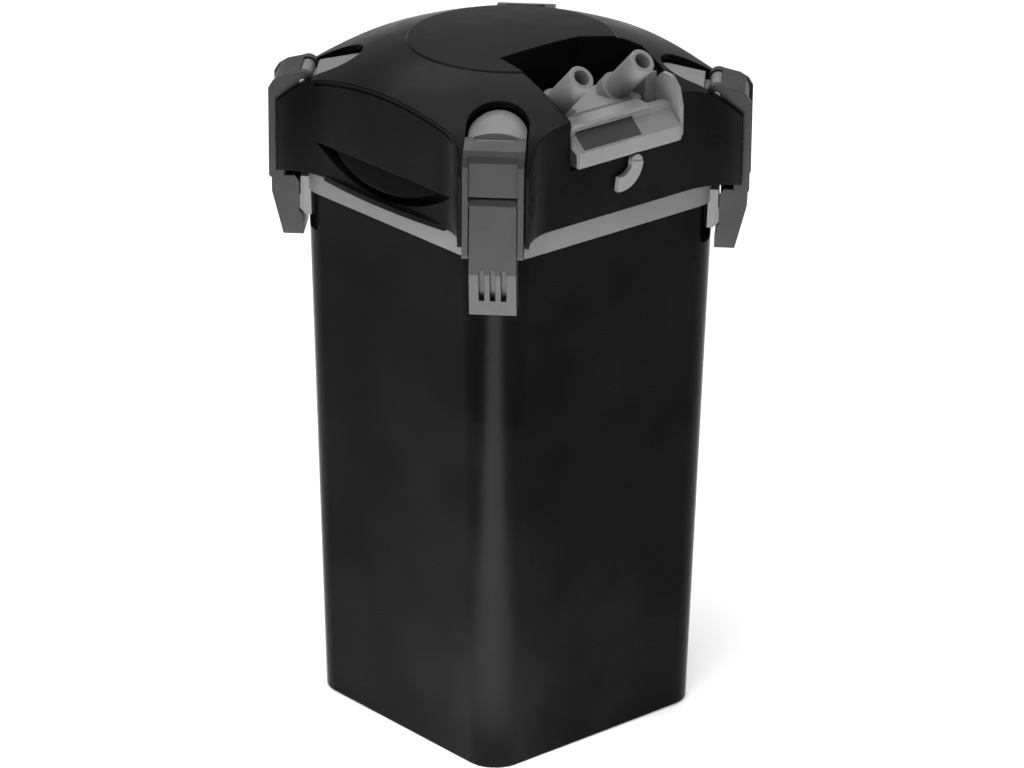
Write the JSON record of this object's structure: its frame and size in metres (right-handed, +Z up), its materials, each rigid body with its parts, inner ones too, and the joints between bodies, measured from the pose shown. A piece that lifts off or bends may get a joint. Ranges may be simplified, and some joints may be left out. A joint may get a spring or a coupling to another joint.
{
  "type": "canister filter",
  "caption": "Square tapered external aquarium canister filter with a domed lift-off pump head, corner clips and a hose adapter with a lock lever.",
  "frame": {"origin": "centre of the footprint, on the surface that the feet stand on", "axes": "+Z up, -Y towards the hose adapter, +X and -X towards the two hand grips"},
  "size_m": [0.2486, 0.2486, 0.477],
  "materials": {
    "gloss_black": "gloss moulded",
    "head_black": "satin moulded",
    "light_grey": "satin moulded",
    "adapter_grey": "satin moulded",
    "dark_grey": "satin moulded",
    "clip_grey": "satin moulded",
    "seal_rubber": "matte",
    "foot_rubber": "matte",
    "basket_plastic": "satin moulded",
    "ceramic": "matte fired",
    "sintered_glass": "matte porous",
    "blue_foam": "open cell foam",
    "white_pad": "felted fibre",
    "steel": "satin",
    "potting": "cast resin",
    "magnet": "sintered ferrite",
    "gland_black": "satin moulded"
  },
  "bodies": {
    "canister": {"canister": "gloss_black", "trim_ring": "light_grey", "head_seal": "seal_rubber", "rubber_feet": "foot_rubber", "lower_basket": "basket_plastic", "middle_basket": "basket_plastic", "upper_basket": "basket_plastic", "prefilter_basket": "basket_plastic", "basket_handles": "basket_plastic", "ceramic_media": "ceramic", "biological_media": "sintered_glass", "coarse_blue_foam": "blue_foam", "fine_white_pad": "white_pad", "prefilter_foam": "blue_foam", "intake_pipe": "basket_plastic"},
    "head": {"head_cover": "head_black", "head_base": "head_black", "corner_brackets": "light_grey", "clip_hinge_pins": "steel", "head_screws": "steel", "motor_block": "potting", "ceramic_shaft": "ceramic", "shaft_bushes": "seal_rubber", "impeller_cover": "basket_plastic", "inlet_duct": "basket_plastic", "outlet_duct": "basket_plastic", "cable_gland": "gland_black"},
    "impeller": {"impeller_magnet": "magnet", "impeller_wheel": "basket_plastic"},
    "adapter": {"adapter_body": "adapter_grey", "inlet_tail": "adapter_grey", "outlet_tail": "adapter_grey", "adapter_seals": "seal_rubber", "lock_lever_pin": "steel"},
    "lock_lever": {"lock_lever": "adapter_grey", "lock_lever_inlay": "dark_grey"},
    "inlet_tap": {"inlet_tap": "basket_plastic"},
    "outlet_tap": {"outlet_tap": "basket_plastic"},
    "flow_lever": {"flow_lever": "adapter_grey"},
    "clip_arm_front_left": {"clip_arm_front_left": "clip_grey", "lever_pin_front_left": "steel"},
    "clip_lever_front_left": {"clip_lever_front_left": "clip_grey"},
    "clip_arm_front_right": {"clip_arm_front_right": "clip_grey", "lever_pin_front_right": "steel"},
    "clip_lever_front_right": {"clip_lever_front_right": "clip_grey"},
    "clip_arm_rear_right": {"clip_arm_rear_right": "clip_grey", "lever_pin_rear_right": "steel"},
    "clip_lever_rear_right": {"clip_lever_rear_right": "clip_grey"},
    "clip_arm_rear_left": {"clip_arm_rear_left": "clip_grey", "lever_pin_rear_left": "steel"},
    "clip_lever_rear_left": {"clip_lever_rear_left": "clip_grey"}
  },
  "joints": [
    {"name": "head_lift", "type": "slide", "parent": "canister", "child": "head", "axis": [0, 0, 1], "range_m": [0, 0.11]},
    {"name": "clip_arm_hinge_front_left", "type": "hinge", "parent": "head", "child": "clip_arm_front_left", "pos_m": [-0.09475, -0.09475, 0.439], "axis": [-0.7071, 0.7071, 0], "range_deg": [0, 100]},
    {"name": "clip_lever_hinge_front_left", "type": "hinge", "parent": "clip_arm_front_left", "child": "clip_lever_front_left", "pos_m": [-0.10607, -0.10607, 0.4078], "axis": [-0.7071, 0.7071, 0], "range_deg": [0, 95]},
    {"name": "clip_arm_hinge_front_right", "type": "hinge", "parent": "head", "child": "clip_arm_front_right", "pos_m": [0.09475, -0.09475, 0.439], "axis": [-0.7071, -0.7071, 0], "range_deg": [0, 100]},
    {"name": "clip_lever_hinge_front_right", "type": "hinge", "parent": "clip_arm_front_right", "child": "clip_lever_front_right", "pos_m": [0.10607, -0.10607, 0.4078], "axis": [-0.7071, -0.7071, 0], "range_deg": [0, 95]},
    {"name": "clip_arm_hinge_rear_right", "type": "hinge", "parent": "head", "child": "clip_arm_rear_right", "pos_m": [0.09475, 0.09475, 0.439], "axis": [0.7071, -0.7071, 0], "range_deg": [0, 100]},
    {"name": "clip_lever_hinge_rear_right", "type": "hinge", "parent": "clip_arm_rear_right", "child": "clip_lever_rear_right", "pos_m": [0.10607, 0.10607, 0.4078], "axis": [0.7071, -0.7071, 0], "range_deg": [0, 95]},
    {"name": "clip_arm_hinge_rear_left", "type": "hinge", "parent": "head", "child": "clip_arm_rear_left", "pos_m": [-0.09475, 0.09475, 0.439], "axis": [0.7071, 0.7071, 0], "range_deg": [0, 100]},
    {"name": "clip_lever_hinge_rear_left", "type": "hinge", "parent": "clip_arm_rear_left", "child": "clip_lever_rear_left", "pos_m": [-0.10607, 0.10607, 0.4078], "axis": [0.7071, 0.7071, 0], "range_deg": [0, 95]},
    {"name": "impeller_spin", "type": "hinge", "parent": "head", "child": "impeller", "pos_m": [0, 0.027, 0.37], "axis": [0, 0, 1], "continuous": true},
    {"name": "adapter_pull", "type": "slide", "parent": "head", "child": "adapter", "axis": [0, 0, 1], "range_m": [0, 0.04]},
    {"name": "lock_lever_hinge", "type": "hinge", "parent": "adapter", "child": "lock_lever", "pos_m": [0, -0.096, 0.4375], "axis": [-1, 0, 0], "range_deg": [0, 75]},
    {"name": "inlet_tap_turn", "type": "hinge", "parent": "adapter", "child": "inlet_tap", "pos_m": [-0.0258, -0.068, 0.43], "axis": [-1, 0, 0], "range_deg": [0, 90]},
    {"name": "outlet_tap_turn", "type": "hinge", "parent": "adapter", "child": "outlet_tap", "pos_m": [0.0258, -0.068, 0.43], "axis": [-1, 0, 0], "range_deg": [0, 90]},
    {"name": "flow_lever_turn", "type": "hinge", "parent": "head", "child": "flow_lever", "pos_m": [0.0095, -0.108, 0.411], "axis": [0, 1, 0], "range_deg": [-20, 40]}
  ],
  "couplings": [
    {"joint": "clip_arm_hinge_front_left", "follows": "head_lift", "rad_per_m": 15.708},
    {"joint": "clip_arm_hinge_front_right", "follows": "head_lift", "rad_per_m": 15.708},
    {"joint": "clip_arm_hinge_rear_right", "follows": "head_lift", "rad_per_m": 15.708},
    {"joint": "clip_arm_hinge_rear_left", "follows": "head_lift", "rad_per_m": 15.708},
    {"joint": "inlet_tap_turn", "follows": "lock_lever_hinge", "ratio": 1.2},
    {"joint": "outlet_tap_turn", "follows": "lock_lever_hinge", "ratio": 1.2}
  ]
}
